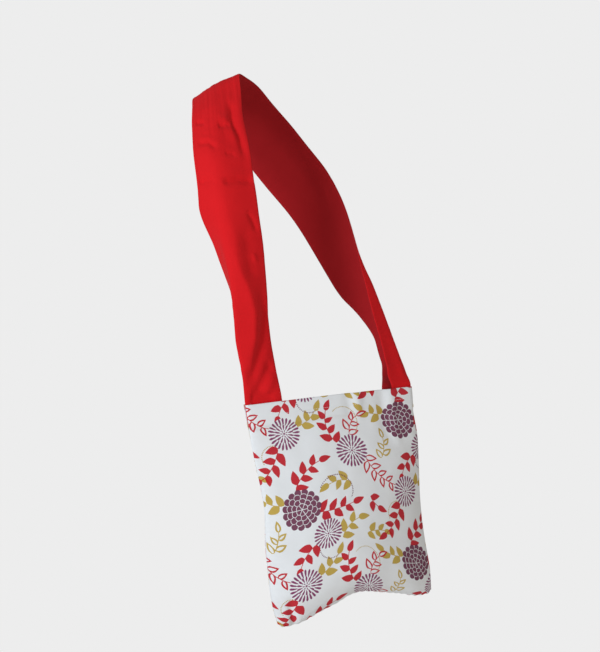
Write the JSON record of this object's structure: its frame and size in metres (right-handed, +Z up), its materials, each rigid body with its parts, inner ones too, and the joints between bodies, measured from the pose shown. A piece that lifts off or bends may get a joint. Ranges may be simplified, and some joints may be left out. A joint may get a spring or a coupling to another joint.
{
  "type": "cotton messenger bag",
  "caption": "Soft cotton shoulder bag: an open printed pouch that hangs at the hip from a wide plain strap, in the shape it takes when worn across the body.",
  "frame": {"origin": "under the strap, in the middle of the place where it rests on the wearer's shoulder", "axes": "+Z up; +X along the mouth of the pouch, from the corner below the shoulder to the corner at the hip; the front of the pouch faces -Y, away from the wearer"},
  "size_m": [0.4017, 0.2561, 0.9105],
  "materials": {
    "printed_cotton": "matt plain weave with a printed pattern",
    "red_cotton": "matt plain weave, dyed red"
  },
  "bodies": {
    "root": {"front_panel": "printed_cotton", "back_panel": "printed_cotton", "strap": "red_cotton"}
  },
  "joints": []
}
